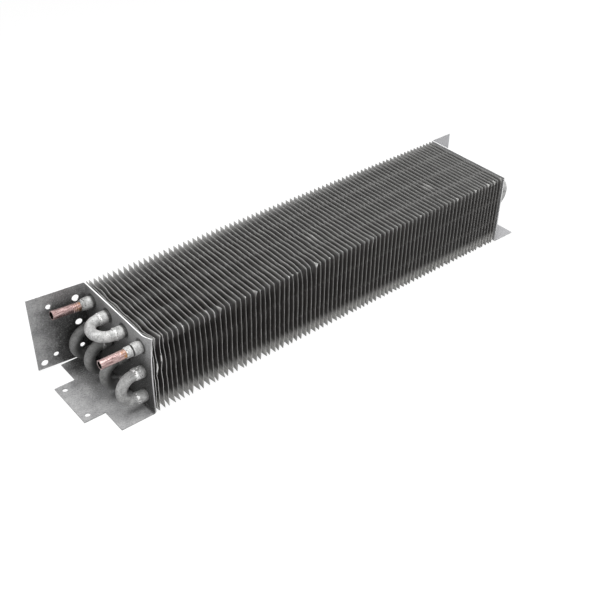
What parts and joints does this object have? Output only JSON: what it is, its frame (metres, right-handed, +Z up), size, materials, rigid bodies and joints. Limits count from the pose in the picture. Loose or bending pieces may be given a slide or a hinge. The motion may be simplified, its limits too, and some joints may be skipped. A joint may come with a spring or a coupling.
{
  "type": "evaporator coil",
  "caption": "Finned evaporator coil: thin fins on a serpentine tube between two folded end plates with flanges, return bends and copper stub tubes at one end.",
  "frame": {"origin": "middle of the base of the overall box, on the plane that the bottom flanges rest on", "axes": "+X along the coil from the copper stubs to the far end, +Y towards the back flanges, +Z up"},
  "size_m": [0.4944, 0.107, 0.0762],
  "materials": {
    "plate_aluminium": "dull, lightly weathered",
    "fin_aluminium": "thin sheet, dull",
    "tube_aluminium": "matt, slightly rough",
    "stub_copper": "copper, heat-tinted near the joint",
    "braze": "solidified braze metal"
  },
  "bodies": {
    "root": {"braze_rings_bend_back": "braze", "braze_rings_bend_front": "braze", "braze_rings_bend_second": "braze", "braze_rings_bend_third": "braze", "braze_rings_bend_top": "braze", "braze_rings_stub_back": "braze", "braze_rings_stub_front": "braze", "copper_stub_back": "stub_copper", "copper_stub_front": "stub_copper", "far_end_plate": "plate_aluminium", "fins_01": "fin_aluminium", "fins_02": "fin_aluminium", "fins_03": "fin_aluminium", "fins_04": "fin_aluminium", "fins_05": "fin_aluminium", "fins_06": "fin_aluminium", "fins_07": "fin_aluminium", "fins_08": "fin_aluminium", "fins_09": "fin_aluminium", "fins_10": "fin_aluminium", "fins_11": "fin_aluminium", "fins_12": "fin_aluminium", "fins_13": "fin_aluminium", "fins_14": "fin_aluminium", "fins_15": "fin_aluminium", "fins_16": "fin_aluminium", "fins_17": "fin_aluminium", "fins_18": "fin_aluminium", "fins_19": "fin_aluminium", "fins_20": "fin_aluminium", "fins_21": "fin_aluminium", "fins_22": "fin_aluminium", "fins_23": "fin_aluminium", "fins_24": "fin_aluminium", "fins_25": "fin_aluminium", "fins_26": "fin_aluminium", "fins_27": "fin_aluminium", "fins_28": "fin_aluminium", "hairpin_back_lower": "tube_aluminium", "hairpin_back_upper": "tube_aluminium", "hairpin_front_lower": "tube_aluminium", "hairpin_front_upper": "tube_aluminium", "hairpin_second_upper": "tube_aluminium", "hairpin_third_upper": "tube_aluminium", "near_end_plate": "plate_aluminium", "return_bend_back": "tube_aluminium", "return_bend_front": "tube_aluminium", "return_bend_second": "tube_aluminium", "return_bend_third": "tube_aluminium", "return_bend_top": "tube_aluminium", "sleeve_back": "tube_aluminium", "sleeve_front": "tube_aluminium"}
  },
  "joints": []
}
